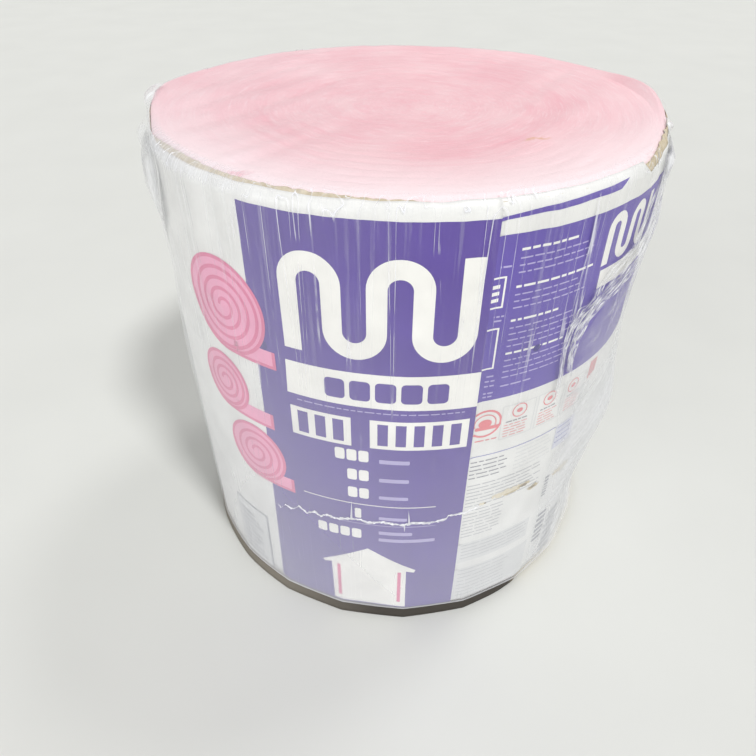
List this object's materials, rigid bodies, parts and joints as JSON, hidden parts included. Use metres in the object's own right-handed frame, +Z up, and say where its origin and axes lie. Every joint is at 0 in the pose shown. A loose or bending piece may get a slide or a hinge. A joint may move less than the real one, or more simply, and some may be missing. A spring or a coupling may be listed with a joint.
{
  "type": "roll of faced glass-fibre batt insulation",
  "caption": "Roll of pink glass-fibre wall insulation standing on end, in a purple and white printed sheet under clear stretch film, with the wound end showing on top.",
  "frame": {"origin": "centre of the end it stands on", "axes": "+Z up along the roll's axis, -Y towards the front panel of the printed wrapper"},
  "size_m": [0.379, 0.379, 0.3818],
  "materials": {
    "glass_fibre": "soft matt packed glass wool",
    "kraft_paper": "matt brown kraft paper",
    "printed_film": "satin polythene sheet printed purple and white",
    "clear_film": "glossy clear stretch film with fine wrinkles"
  },
  "bodies": {
    "root": {"fiber_blanket": "glass_fibre", "kraft_facing": "kraft_paper", "printed_wrapper": "printed_film", "stretch_film": "clear_film"}
  },
  "joints": []
}
